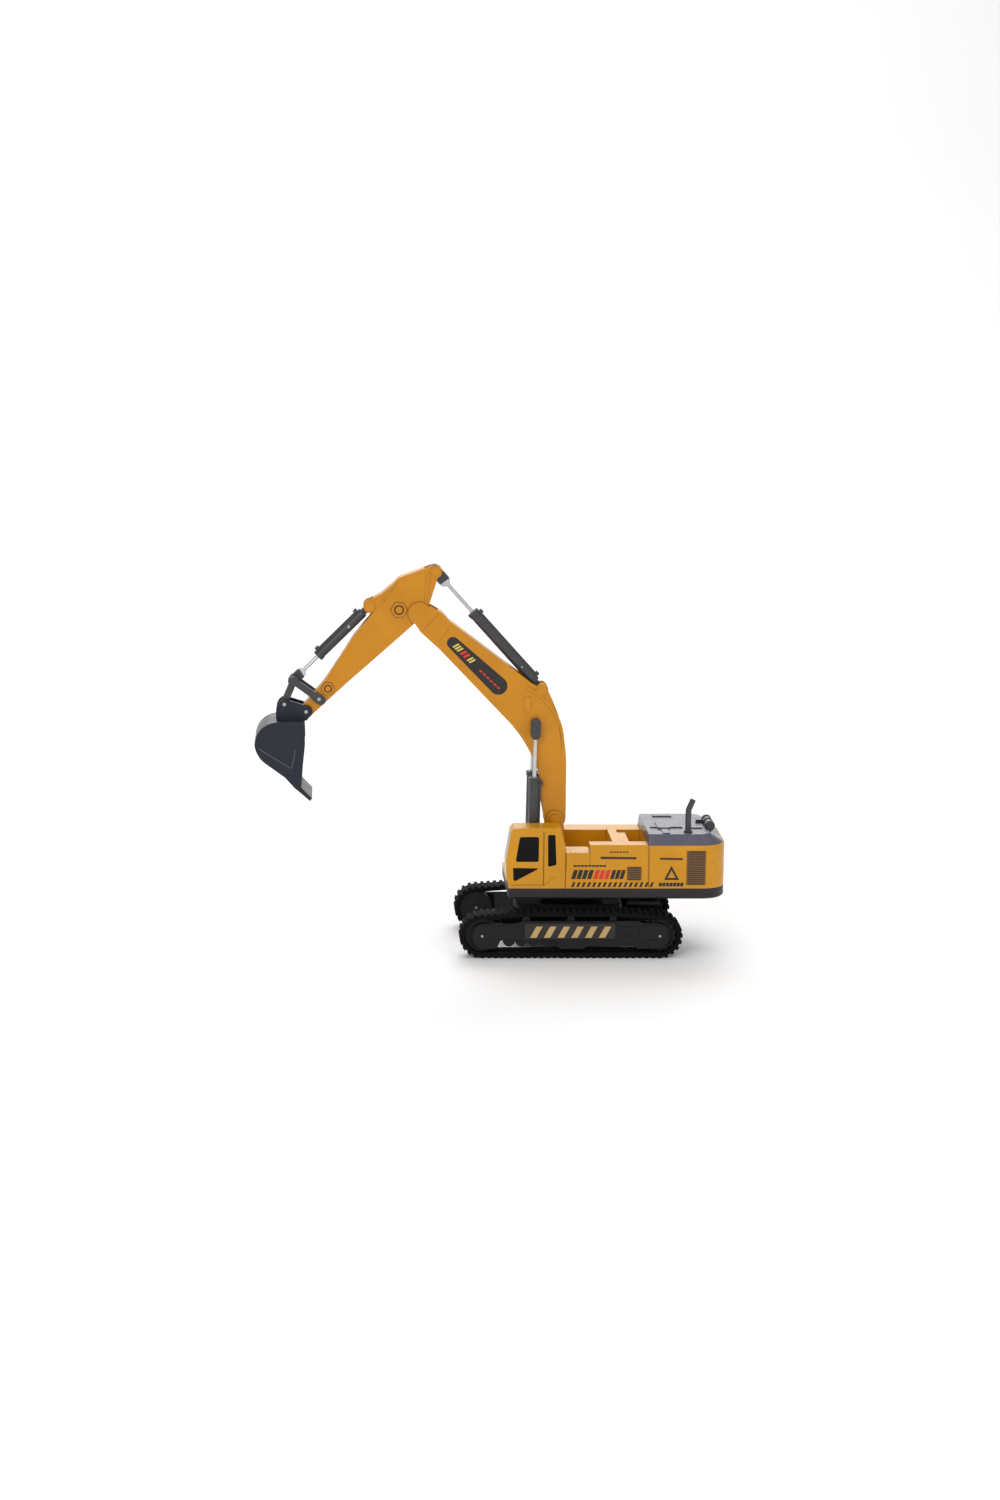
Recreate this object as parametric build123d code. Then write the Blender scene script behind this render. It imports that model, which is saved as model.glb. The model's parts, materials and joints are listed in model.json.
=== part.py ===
from build123d import *
import math
import os

# Toy crawler excavator, in millimetres.  +X points forwards to the bucket, +Y to the cab side, +Z up.
# Everything is drawn about the slew axis (x = 0, y = 0) on the ground (z = 0), and is moved by
# SLEW_AXIS_X when it is written, so that the origin lies under the middle of the whole machine.
SLEW_AXIS_X = -64.955

# ---- undercarriage ----
HUB_X = 72.0                  # idler and sprocket axles, in front of and behind the slew axis
HUB_Z = 18.3
TRACK_OUTER_Y = 56.0
BELT_WIDTH = 18.0
BELT_INNER_R = 13.8
BELT_CARCASS = 3.0
GROUSER_HEIGHT = 1.5
GROUSER_WIDTH = 2.6
GROUSER_COUNT = 74
CARRIER_X = (36.0, 0.0, -34.0)
CARRIER_R = 3.0
BELT_TOP_INNER_Z = 34.8
GUIDE_LUG_HEIGHT = 2.0
GUIDE_LUG_WIDTH = 4.0
WHEEL_CLEARANCE = 0.3
ROLLER_PITCH = 10.0
ROLLER_R = 5.05
ROLLER_Z = 14.0
ROLLER_COUNT = 11
AXLE_R = 1.0
KINGPIN_R = 4.0
RAIL_INNER_Y = TRACK_OUTER_Y - BELT_WIDTH + 1.5
LEG_Z = (18.0, 32.0)
CHASSIS_TOP_Z = 38.0
CHASSIS_BOTTOM_Z = 13.0

# ---- slewing ----
RING_TEETH = 40
PINION_TEETH = 10
GEAR_MODULE = 1.0
GEAR_Z = (38.0, 42.0)

# ---- platform and body ----
PLATFORM_Z = (46.0, 54.8)
BODY_HALF_WIDTH = 42.0
BODY_FRONT_X = 50.5
TAIL_X = -126.4
TAIL_CORNER_R = 19.0
WALL = 1.8
WELL_FLOOR_Z = 62.0
LOW_DECK_Z = 84.5
NEAR_BOX_Z = 91.0
FAR_DECK_Z = 89.3
FAR_STEP_X = 44.0
FAR_STEP_Z = 76.0
FAR_LIP_Z = 57.0
HOOD_BOTTOM_Z = 90.4
HOOD_TOP_Z = 99.2
HOOD_FRONT_X = -62.3
WELL_NEAR_Y = 29.0
WELL_FAR_Y = -22.0
CAB_INNER_Y = 19.4
CAB_ROOF_Z = 104.6
CAB_REAR_X = 4.0

# ---- working arm: pivots as (x, z) at rest ----
BOOM_PIVOT = (11.0, 105.5)
BOOM_BARREL_PIN = (29.2, 78.0)
BOOM_ROD_PIN = (27.9, 183.7)
STICK_PIVOT = (122.8, 275.0)
STICK_BARREL_PIN = (22.9, 212.4)
STICK_ROD_PIN = (109.6, 308.6)
BUCKET_BARREL_PIN = (162.7, 280.6)
LEVER_PIN = (204.0, 204.9)
LINK_TOP_PIN = (224.3, 219.7)
LINK_BUCKET_PIN = (232.2, 200.6)
BUCKET_PIVOT = (214.5, 194.5)

GRILLE_X = (-109.4, -93.9)
GRILLE_Z = (57.7, 86.0)
BADGE_X = (-57.4, -45.8)
BADGE_Z = (61.6, 72.9)
EXHAUST_X = -95.8
EXHAUST_Y = 30.0
PIVOT_R = 2.0

BOOM_BARREL_LENGTH = 63.0
STICK_BARREL_LENGTH = 84.7
BUCKET_BARREL_LENGTH = 59.3
BUCKET_BARREL_R = 4.1
HEX_BOSSES = ((139.3, 277.8), (196.7, 213.2))
BOOM_SCREWS = ((12.0, 125.0), (24.0, 176.0), (80.0, 239.0))
BOOM_HALF = 8.5
SWITCH_SLOT = 10.0
SWITCH_TRAVEL = 4.0
SWITCH_Z = (22.6, 27.4)
STICK_HALF = 6.5
CYLINDER_Y = 14.2
BUCKET_HALF = 23.0
PIN_R = 1.5
RUNNING = 0.05
GAP = 0.35
SHELL = 1.7
BARREL_R = 4.4
ROD_R = 1.6

parts = {}
os.makedirs("parts", exist_ok=True)


# ---- drawing helpers ----
def slab(sketch, y_low, y_high):
    """Extrude a side profile, drawn as (x, z), between two widths."""
    return Plane.XZ.offset(-y_high) * extrude(sketch, y_high - y_low, dir=(0, 0, 1))


def prism(sketch, z_low, z_high):
    """Extrude a plan, drawn as (x, y), between two heights."""
    return Pos(0, 0, z_low) * extrude(sketch, z_high - z_low, dir=(0, 0, 1))


def outline(*points):
    return Polygon(*points, align=None)


def filled(*curves):
    """Face bounded by lines and arcs that follow each other end to end."""
    border = Curve()
    for curve in curves:
        border += curve
    return make_face(border.edges())


def rounded(sketch, radius):
    return fillet(sketch.vertices(), radius)


def disc(centre, radius):
    return Pos(*centre) * Circle(radius)


def bar(start, end, width):
    """A flat link profile with round ends, between two points."""
    length = math.dist(start, end)
    angle = math.degrees(math.atan2(end[1] - start[1], end[0] - start[0]))
    middle = ((start[0] + end[0]) / 2, (start[1] + end[1]) / 2)
    return Pos(*middle) * Rot(0, 0, angle) * SlotCenterToCenter(length, width)


def cross_rod(centre, radius, y_low, y_high):
    return slab(disc(centre, radius), y_low, y_high)


def block(x_range, y_range, z_range):
    size = [high - low for low, high in (x_range, y_range, z_range)]
    low_corner = (x_range[0], y_range[0], z_range[0])
    return Pos(*low_corner) * Box(*size, align=(Align.MIN, Align.MIN, Align.MIN))


def upright_edges(part):
    return part.edges().filter_by(Axis.Z)


def mirrored(part):
    return mirror(part, about=Plane.XZ)


def both_sides(name, part):
    """Store a left-hand part and its mirror image as two nodes."""
    parts[name + "_left"] = part
    parts[name + "_right"] = mirrored(part)


def along(start, end, distance):
    """The point at a distance from start towards end."""
    length = math.dist(start, end)
    step = distance / length
    return (start[0] + (end[0] - start[0]) * step, start[1] + (end[1] - start[1]) * step)


# ---- tracks ----
def belt_loop(extra):
    """The belt's inner line, grown outwards by extra: a hull round the hubs and the carriers."""
    carrier_z = BELT_TOP_INNER_Z - CARRIER_R
    rings = [disc((x, HUB_Z), BELT_INNER_R + extra) for x in (HUB_X, -HUB_X)]
    rings += [disc((x, carrier_z), CARRIER_R + extra) for x in (CARRIER_X[0], CARRIER_X[-1])]
    return make_hull([ring.edge() for ring in rings])


def grousers():
    """Cross bars stood round the outside of the belt at an even pitch."""
    carcass = belt_loop(BELT_CARCASS)
    wire = carcass.face().outer_wire()
    bars = []
    for index in range(GROUSER_COUNT):
        place = index / GROUSER_COUNT
        point = wire.position_at(place)
        tangent = wire.tangent_at(place)
        angle = math.degrees(math.atan2(tangent.Y, tangent.X))
        tooth = Rectangle(GROUSER_WIDTH, 2 * GROUSER_HEIGHT)
        bars.append(Pos(point.X, point.Y) * Rot(0, 0, angle) * tooth)
    return bars


def track_belt():
    inner_y = TRACK_OUTER_Y - BELT_WIDTH
    tread = belt_loop(BELT_CARCASS)
    for tooth in grousers():
        tread += tooth
    tread -= belt_loop(0)
    belt = slab(tread, inner_y, TRACK_OUTER_Y)
    lug_y = TRACK_OUTER_Y - BELT_WIDTH / 2
    lugs = belt_loop(0.1) - belt_loop(-GUIDE_LUG_HEIGHT)
    return belt + slab(lugs, lug_y - GUIDE_LUG_WIDTH / 2, lug_y + GUIDE_LUG_WIDTH / 2)


def lug_groove():
    """The space that the guide lugs run in, cut out of the roller rail."""
    lug_y = TRACK_OUTER_Y - BELT_WIDTH / 2
    half = GUIDE_LUG_WIDTH / 2 + GAP
    ring = belt_loop(1.0) - belt_loop(-GUIDE_LUG_HEIGHT - GAP)
    return slab(ring, lug_y - half, lug_y + half)


def running_wheel(hub_x, notches):
    """Idler or sprocket: a wheel with a groove for the guide lugs, notched on the sprocket's rim."""
    inner_y = RAIL_INNER_Y
    outer_y = TRACK_OUTER_Y - 4.6
    hub = (hub_x, HUB_Z)
    rim_r = BELT_INNER_R - WHEEL_CLEARANCE
    rim = disc(hub, rim_r)
    for index in range(notches):
        turn = math.radians(360 * index / notches)
        rim -= disc((hub_x + rim_r * math.cos(turn), HUB_Z + rim_r * math.sin(turn)), 1.3)
    lug_y = TRACK_OUTER_Y - BELT_WIDTH / 2
    half = GUIDE_LUG_WIDTH / 2 + GAP
    groove = disc(hub, rim_r + 1) - disc(hub, BELT_INNER_R - GUIDE_LUG_HEIGHT - GAP)
    wheel = slab(rim, inner_y, outer_y) - slab(groove, lug_y - half, lug_y + half)
    dish = disc(hub, rim_r - 2.8) - disc(hub, 4.0)
    wheel -= slab(dish, outer_y - 2.0, outer_y)
    return wheel - cross_rod(hub, AXLE_R + RUNNING, inner_y, outer_y)


def roller_rail():
    """Moulded rail behind the track frame: road rollers below, carrier blocks above."""
    inner_y = RAIL_INNER_Y
    outer_y = TRACK_OUTER_Y - 4.0
    beam_x = HUB_X - BELT_INNER_R - 1.5
    beam = outline((-beam_x, 15.0), (beam_x, 15.0), (beam_x, 27.0), (-beam_x, 27.0))
    for x in CARRIER_X:
        beam += outline((x - 4.2, 26.0), (x + 4.2, 26.0), (x + 3.0, 31.6), (x - 3.0, 31.6))
        beam += disc((x, BELT_TOP_INNER_Z - CARRIER_R - 0.2), CARRIER_R - 0.1)
    rollers = outline((-beam_x, 14.5), (beam_x, 14.5), (beam_x, 18.0), (-beam_x, 18.0))
    first = -ROLLER_PITCH * (ROLLER_COUNT - 1) / 2
    for index in range(ROLLER_COUNT):
        rollers += disc((first + index * ROLLER_PITCH, ROLLER_Z), ROLLER_R)
    rail = slab(beam, inner_y, outer_y) + slab(rollers, outer_y - 3.6, outer_y)
    return rail - lug_groove()


def track_frame():
    """Outer side plate: raised end panels, a grooved beam, and a cut-away that shows the rollers."""
    back_y = TRACK_OUTER_Y - 4.0
    face_y = TRACK_OUTER_Y - 1.6
    plate = outline((79.2, 7.6), (79.2, 28.4), (45, 28.4), (38, 30.4), (-54, 30.4), (-58, 28.6),
                    (-79.2, 28.6), (-79.2, 7.6), (-54, 7.6), (-51, 9.6), (-13, 9.6), (-10, 7.4),
                    (9, 7.4), (12, 14.4), (57, 14.4), (60, 7.6))
    corners = [v for v in plate.vertices() if abs(v.X) > 79]
    plate = fillet(corners, 8.5)
    frame = slab(plate, back_y, face_y)
    front_panel = rounded(outline((77.4, 16.0), (77.4, 26.6), (42, 26.6), (42, 16.0)), 2.0)
    rear_panel = rounded(outline((-56, 16.0), (-56, 26.8), (-77.4, 26.8), (-77.4, 16.0)), 2.0)
    low_panel = rounded(outline((-58, 8.8), (-58, 14.2), (-76, 14.2), (-74, 8.8)), 1.0)
    for panel in (front_panel, rear_panel, low_panel):
        frame += slab(panel, face_y - 0.5, face_y + 0.8)
    sticker_bed = outline((38, 15.6), (38, 29.4), (-36, 29.4), (-36, 15.6))
    frame += slab(rounded(sticker_bed, 1.0), face_y - 0.5, face_y + 0.5)
    for x_low, x_high, z in ((-52, -38, 26.0), (-50, -40, 18.2)):
        groove = outline((x_low, z - 0.6), (x_high, z - 0.6), (x_high, z + 0.6), (x_low, z + 0.6))
        frame -= slab(groove, face_y - 0.7, face_y + 2)
    for hub_x in (HUB_X, -HUB_X):
        frame -= cross_rod((hub_x, HUB_Z), AXLE_R + RUNNING, back_y - 1, face_y + 2)
    return frame


def steel_axle(hub_x, inner_y):
    """The short steel rod that an end wheel turns on."""
    return cross_rod((hub_x, HUB_Z), AXLE_R, inner_y, TRACK_OUTER_Y - 0.5)


# ---- chassis ----
def chassis():
    """Centre tub with four legs out to the rails, open below for the battery."""
    tub = rounded(Rectangle(88, 56), 9.0)
    body = prism(tub, CHASSIS_BOTTOM_Z, CHASSIS_TOP_Z)
    body = chamfer(body.faces().sort_by(Axis.Z)[-1].edges(), 1.0)
    for front_x, side_x in ((57, 1), (50, -1)):
        leg = outline((30 * side_x, 14), (front_x * side_x, RAIL_INNER_Y),
                      ((front_x - 22) * side_x, RAIL_INNER_Y), (18 * side_x, 26))
        body += prism(leg, *LEG_Z) + mirrored(prism(leg, *LEG_Z))
    cavity = rounded(Rectangle(80, 44), 5.0)
    body -= prism(cavity, CHASSIS_BOTTOM_Z - 1, CHASSIS_TOP_Z - 3.0)
    body -= prism(Circle(KINGPIN_R), CHASSIS_TOP_Z - 4, CHASSIS_TOP_Z + 1)
    return body - block((38, 46), (-SWITCH_SLOT / 2, SWITCH_SLOT / 2), SWITCH_Z)


def power_switch():
    """Sliding knob in the front wall, held from inside by a wide flange."""
    low, high = SWITCH_Z
    knob = block((39.0, 45.4), (-2.7, 2.7), (low + GAP, high - GAP))
    for ridge_y in (-1.6, 0, 1.6):
        knob += block((45.2, 46.0), (ridge_y - 0.4, ridge_y + 0.4), (low + 0.8, high - 0.8))
    knob += block((37.6, 39.6), (-5.2, 5.2), (low - 1.6, high + 1.6))
    return Pos(0, -SWITCH_TRAVEL / 2, 0) * knob


def ring_gear(teeth, width_factor):
    """Straight-toothed gear profile with room for backlash."""
    pitch_r = teeth * GEAR_MODULE / 2
    root = pitch_r - 1.2 * GEAR_MODULE
    tip = pitch_r + 0.8 * GEAR_MODULE
    half_root = 0.95 * width_factor * GEAR_MODULE
    half_tip = 0.42 * width_factor * GEAR_MODULE
    profile = Circle(root)
    for index in range(teeth):
        tooth = outline((root - 0.5, -half_root), (tip, -half_tip), (tip, half_tip),
                        (root - 0.5, half_root))
        profile += Rot(0, 0, 360 * index / teeth) * tooth
    return profile


def slewing():
    ring = prism(ring_gear(RING_TEETH, 0.85) - Circle(13.0), *GEAR_Z)
    parts["slew_ring_gear"] = ring
    pinion_x = -(RING_TEETH + PINION_TEETH) * GEAR_MODULE / 2 - 0.15
    turned = Rot(0, 0, 180 / PINION_TEETH) * ring_gear(PINION_TEETH, 0.85)
    gear = prism(turned, GEAR_Z[0] + 0.4, GEAR_Z[1] - 0.2)
    shaft = prism(Circle(1.5), GEAR_Z[1] - 1, PLATFORM_Z[0] + 6)
    parts["slew_pinion"] = Pos(pinion_x, 0, 0) * (gear + shaft)
    motor = prism(rounded(Rectangle(24, 20), 3.0), PLATFORM_Z[0] + 2.6, PLATFORM_Z[0] + 13.4)
    motor -= prism(Circle(1.5 + RUNNING), PLATFORM_Z[0] + 2, PLATFORM_Z[0] + 7)
    parts["slew_motor"] = Pos(pinion_x, 0, 0) * motor


def kingpin():
    """Headed pin that holds the upper structure on the chassis."""
    shank = prism(Circle(KINGPIN_R), CHASSIS_TOP_Z - 5, PLATFORM_Z[0] + 3.2)
    head = prism(Circle(KINGPIN_R + 3), PLATFORM_Z[0] + 3.2, PLATFORM_Z[0] + 4.6)
    foot = prism(Circle(KINGPIN_R + 2), CHASSIS_TOP_Z - 5, CHASSIS_TOP_Z - 3.2)
    return shank + head + foot


def drive_gearbox():
    """Sealed motor and gears on the inner side of a sprocket, lugged to the roller rail."""
    case = outline((-HUB_X - 9, HUB_Z - 8), (-HUB_X + 20, HUB_Z - 8), (-HUB_X + 20, HUB_Z + 8),
                   (-HUB_X - 9, HUB_Z + 8))
    box = slab(rounded(case, 3.0), 18.0, RAIL_INNER_Y - 0.5)
    lug = outline((-HUB_X + 15, HUB_Z - 6), (-HUB_X + 20, HUB_Z - 6), (-HUB_X + 20, HUB_Z + 6),
                  (-HUB_X + 15, HUB_Z + 6))
    box += slab(lug, 30.0, RAIL_INNER_Y)
    return box - cross_rod((-HUB_X, HUB_Z), AXLE_R + RUNNING, 20, 60)


def undercarriage():
    both_sides("track_belt", track_belt())
    both_sides("roller_rail", roller_rail())
    both_sides("track_frame", track_frame())
    both_sides("idler_wheel", running_wheel(HUB_X, 0))
    both_sides("drive_sprocket", running_wheel(-HUB_X, 14))
    idler_axle = steel_axle(HUB_X, TRACK_OUTER_Y - BELT_WIDTH + 0.5)
    parts["idler_axles"] = Compound([idler_axle, mirrored(idler_axle)])
    both_sides("sprocket_axle", steel_axle(-HUB_X, 24.0))
    both_sides("drive_gearbox", drive_gearbox())
    parts["chassis"] = chassis()
    parts["battery_pack"] = block((-30, 30), (-17, 17), (CHASSIS_BOTTOM_Z + 2.2, CHASSIS_BOTTOM_Z + 18))
    door = rounded(Rectangle(79, 43), 4.8)
    parts["battery_door"] = prism(door, CHASSIS_BOTTOM_Z, CHASSIS_BOTTOM_Z + 2.0)
    parts["power_switch"] = power_switch()
    parts["kingpin"] = kingpin()
    slewing()


# ---- platform and body ----
def plan(x_front, x_rear, half_width, front_r, rear_r):
    """The machine's footprint: nearly square at the front, well rounded at the tail."""
    shape = outline((x_front, half_width), (x_rear, half_width), (x_rear, -half_width),
                    (x_front, -half_width))
    rear = [v for v in shape.vertices() if v.X < 0.5 * (x_front + x_rear)]
    shape = fillet(rear, rear_r)
    front = [v for v in shape.vertices() if v.X > x_front - 0.1]
    return fillet(front, front_r)


def platform():
    """Black tray that the body shell stands on, with the turntable ring below."""
    footprint = plan(BODY_FRONT_X, TAIL_X, BODY_HALF_WIDTH, 3.0, TAIL_CORNER_R)
    tray = prism(footprint, *PLATFORM_Z)
    tray = chamfer(tray.faces().sort_by(Axis.Z)[0].edges(), 1.4)
    inner = plan(BODY_FRONT_X - WALL, TAIL_X + WALL, BODY_HALF_WIDTH - WALL, 1.5, TAIL_CORNER_R - WALL)
    tray -= prism(inner, PLATFORM_Z[0] + 2.6, PLATFORM_Z[1] + 1)
    tray += prism(Circle(17.0) - Circle(13.5), GEAR_Z[1] + 0.3, PLATFORM_Z[0] + 1)
    tray += prism(Circle(8.0), PLATFORM_Z[0], PLATFORM_Z[0] + 3.0)
    tray -= prism(Circle(KINGPIN_R + RUNNING), PLATFORM_Z[0] - 1, PLATFORM_Z[0] + 4)
    pinion_x = -(RING_TEETH + PINION_TEETH) * GEAR_MODULE / 2 - 0.15
    tray -= Pos(pinion_x, 0, 0) * prism(Circle(2.2), PLATFORM_Z[0] - 1, PLATFORM_Z[0] + 4)
    return tray


def body_shell():
    """Yellow engine deck: near box, low step, far deck, open well and the bridge across it."""
    base = PLATFORM_Z[1]
    reach = BODY_HALF_WIDTH + 1
    hood_x = HOOD_FRONT_X
    outer = block((TAIL_X - 1, hood_x), (-reach, reach), (base, HOOD_BOTTOM_Z))
    outer += block((hood_x, -15.3), (WELL_NEAR_Y, reach), (base, NEAR_BOX_Z))
    outer += block((-15.3, CAB_REAR_X), (CAB_INNER_Y, reach), (base, LOW_DECK_Z))
    outer += block((hood_x, 25.0), (-reach, WELL_FAR_Y), (base, FAR_DECK_Z))
    outer += block((25.0, FAR_STEP_X), (-reach, WELL_FAR_Y), (base, FAR_STEP_Z))
    outer += block((FAR_STEP_X, BODY_FRONT_X), (-reach, WELL_FAR_Y), (base, FAR_LIP_Z))
    outer += block((hood_x, CAB_REAR_X), (WELL_FAR_Y, reach), (base, WELL_FLOOR_Z))
    outer += block((CAB_REAR_X, BODY_FRONT_X), (WELL_FAR_Y, CAB_INNER_Y - 0.2), (base, WELL_FLOOR_Z))
    footprint = plan(BODY_FRONT_X, TAIL_X, BODY_HALF_WIDTH, 3.0, TAIL_CORNER_R)
    shell = outer & prism(footprint, base, NEAR_BOX_Z + 1)
    hollow = block((TAIL_X - 1, hood_x - WALL), (-reach, reach), (base - 1, HOOD_BOTTOM_Z - WALL))
    hollow += block((hood_x - 2 * WALL, -15.3 - WALL), (WELL_NEAR_Y + WALL, reach),
                    (base - 1, NEAR_BOX_Z - WALL))
    hollow += block((-17.5, CAB_REAR_X - WALL), (CAB_INNER_Y + WALL, reach),
                    (base - 1, LOW_DECK_Z - WALL))
    hollow += block((hood_x - 2 * WALL, 25.0 - WALL), (-reach, WELL_FAR_Y - WALL),
                    (base - 1, FAR_DECK_Z - WALL))
    hollow += block((23.0, FAR_STEP_X - WALL), (-reach, WELL_FAR_Y - WALL), (base - 1, FAR_STEP_Z - WALL))
    hollow += block((hood_x - 2 * WALL, FAR_STEP_X - WALL),
                    (WELL_FAR_Y - 2 * WALL, CAB_INNER_Y - 2 * WALL), (base - 1, WELL_FLOOR_Z - WALL))
    hollow += block((FAR_STEP_X - 2 * WALL, BODY_FRONT_X),
                    (WELL_FAR_Y + WALL, CAB_INNER_Y - 2 * WALL), (base - 1, WELL_FLOOR_Z - WALL))
    hollow += block((hood_x - 2 * WALL, CAB_REAR_X - WALL), (0, WELL_NEAR_Y + 2 * WALL),
                    (base - 1, WELL_FLOOR_Z - WALL))
    inner = plan(BODY_FRONT_X - WALL, TAIL_X + WALL, BODY_HALF_WIDTH - WALL, 1.5, TAIL_CORNER_R - WALL)
    shell -= hollow & prism(inner, base - 1, NEAR_BOX_Z + 1)
    bridge = block((-48.0, -34.5), (-3.5, WELL_NEAR_Y + 0.5), (82.0, NEAR_BOX_Z))
    bridge += block((-41.5, -34.5), (WELL_FAR_Y - 0.5, -3.5), (82.0, NEAR_BOX_Z))
    shell += bridge
    shell -= side_cuts() + mirrored(side_cuts())
    return shell


def side_cuts():
    """Grooves, slits and the grille pocket in a flank of the body."""
    face = BODY_HALF_WIDTH
    cuts = block((-52.7, -24.4), (face - 0.7, face + 1), (79.6, 80.8))
    cuts += block((-90.8, -72.2), (face - 0.7, face + 1), (78.8, 80.0))
    cuts += block((-63.9, -63.3), (face - 0.4, face + 1), (56.0, 92.0))
    cuts += block((-111.6, -111.0), (face - 0.4, face + 1), (57.0, 92.0))
    cuts += block(GRILLE_X, (face - 1.0, face + 1), GRILLE_Z)
    cuts += block(BADGE_X, (face - 1.0, face + 1), BADGE_Z)
    return cuts


def louvres(x_range, z_range, slats):
    """A framed panel with level slats, proud of the body by a hair."""
    face = BODY_HALF_WIDTH
    pad = 0.15
    x_low, x_high = x_range[0] + pad, x_range[1] - pad
    z_low, z_high = z_range[0] + pad, z_range[1] - pad
    panel = block((x_low, x_high), (face - 0.95, face + 0.25), (z_low, z_high))
    pitch = (z_high - z_low) / slats
    for index in range(slats):
        level = z_low + (index + 0.5) * pitch
        slot = (level - pitch * 0.22, level + pitch * 0.22)
        panel -= block((x_low + 1.0, x_high - 1.0), (face - 0.45, face + 1), slot)
    return panel


def cab_profile():
    return outline((CAB_REAR_X, PLATFORM_Z[1]), (CAB_REAR_X, 89.5), (8.2, CAB_ROOF_Z), (45.8, CAB_ROOF_Z),
                   (48.8, 101.5), (52.6, 77.0), (52.2, 66.0), (50.2, PLATFORM_Z[1]))


def window_outlines():
    front = rounded(outline((41.4, 97.6), (26.0, 97.6), (26.0, 76.9), (44.8, 76.9)), 1.6)
    rear = rounded(outline((18.8, 99.3), (12.8, 99.3), (11.6, 74.4), (18.4, 72.7)), 1.0)
    low = rounded(outline((46.8, 71.9), (25.3, 71.5), (44.6, 61.0), (46.4, 61.6)), 0.5)
    return [front, rear, low]


def screen_holes(shrink):
    """Openings for the windscreen and the rear window, across the cab."""
    y_low = CAB_INNER_Y + 2.6 + shrink
    y_high = BODY_HALF_WIDTH - 2.6 - shrink
    upper = block((47.0, 56.0), (y_low, y_high), (79.0 + shrink, 99.5 - shrink))
    lower = block((49.5, 56.0), (y_low, y_high), (67.5 + shrink, 76.0 - shrink))
    rear = block((2.0, 8.0), (y_low, y_high), (91.0 + shrink, 100.0 - shrink))
    return upper + lower + rear


def cab_shell():
    """Yellow cab moulding, open below, with its windows cut through."""
    cab = slab(cab_profile(), CAB_INNER_Y, BODY_HALF_WIDTH)
    long_edges = cab.faces().sort_by(Axis.Y)[-1].edges() + cab.faces().sort_by(Axis.Y)[0].edges()
    cab = fillet([e for e in long_edges if e.center().Z > PLATFORM_Z[1] + 1], 1.3)
    inside = offset(cab_profile(), -WALL)
    inside += outline((10, 50), (40, 50), (40, 70), (10, 70))
    cab -= slab(inside, CAB_INNER_Y + WALL, BODY_HALF_WIDTH - WALL)
    for shape in window_outlines():
        cab -= slab(shape, BODY_HALF_WIDTH - WALL - 1, BODY_HALF_WIDTH + 1)
    inner_side = window_outlines()[0]
    cab -= slab(inner_side, CAB_INNER_Y - 1, CAB_INNER_Y + WALL + 1)
    cab -= screen_holes(0)
    face = BODY_HALF_WIDTH
    cab -= block((21.5, 22.1), (face - 0.4, face + 1), (57.7, 101.5))
    cab -= block((22.0, 48.0), (face - 0.4, face + 1), (57.4, 58.0))
    return cab


def cab_windows():
    """Dark panes that fill the cab's openings."""
    panes = []
    for shape in window_outlines():
        pane = offset(shape, -0.08)
        panes.append(slab(pane, BODY_HALF_WIDTH - WALL, BODY_HALF_WIDTH - 0.15))
    inner_side = offset(window_outlines()[0], -0.08)
    panes.append(slab(inner_side, CAB_INNER_Y + 0.15, CAB_INNER_Y + WALL))
    skin = cab_profile() - offset(cab_profile(), -WALL)
    screens = slab(skin, CAB_INNER_Y, BODY_HALF_WIDTH) & screen_holes(0.08)
    panes += screens.solids()
    return Compound(children=panes)


def hood_form(shrink):
    base = plan(HOOD_FRONT_X - shrink, TAIL_X + 0.8 + shrink, BODY_HALF_WIDTH - 0.3 - shrink, 1.5,
                TAIL_CORNER_R - shrink)
    top = plan(HOOD_FRONT_X - 0.8 - shrink, TAIL_X + 13.0 + shrink, BODY_HALF_WIDTH - 3.2 - shrink, 1.5,
               9.0)
    return loft([Pos(0, 0, HOOD_BOTTOM_Z - 0.001 * shrink) * base, Pos(0, 0, HOOD_TOP_Z - shrink) * top])


def engine_hood():
    """Grey cover over the engine bay with raised pads on its top."""
    hood = hood_form(0) - hood_form(WALL)
    top = HOOD_TOP_Z
    pads = block((-88.7, -72.9), (-31, -26), (top - 0.5, top + 1.0))
    pads += block((-92.9, -66.7), (11.5, 15.5), (top - 0.5, top + 1.0))
    pads += block((-82.2, -72.4), (-4, 20), (top - 0.5, top + 1.4))
    pads += block((-109.2, -99.4), (14, 18), (top - 0.5, top + 1.0))
    pads += block((-80.4, -74.8), (22, 37), (top - 0.5, top + 0.8))
    hood += pads
    hood -= cross_hole(EXHAUST_X, EXHAUST_Y, 2.6)
    return hood


def cross_hole(x, y, radius):
    return Pos(x, y, 0) * prism(Circle(radius), HOOD_TOP_Z - 4, HOOD_TOP_Z + 3)


def exhaust_stack():
    """Upright pipe, bent back at the top and cut off at a slant."""
    path = FilletPolyline((EXHAUST_X, EXHAUST_Y, HOOD_TOP_Z - 2.0), (EXHAUST_X, EXHAUST_Y, 117.5),
                          (EXHAUST_X - 3.6, EXHAUST_Y, 126.0), radius=4.0)
    pipe = sweep(Plane(path @ 0, z_dir=path % 0) * (Circle(2.4) - Circle(1.6)), path)
    pipe += prism(Pos(EXHAUST_X, EXHAUST_Y) * (Circle(3.6) - Circle(1.7)), HOOD_TOP_Z, HOOD_TOP_Z + 1.4)
    return pipe


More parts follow.
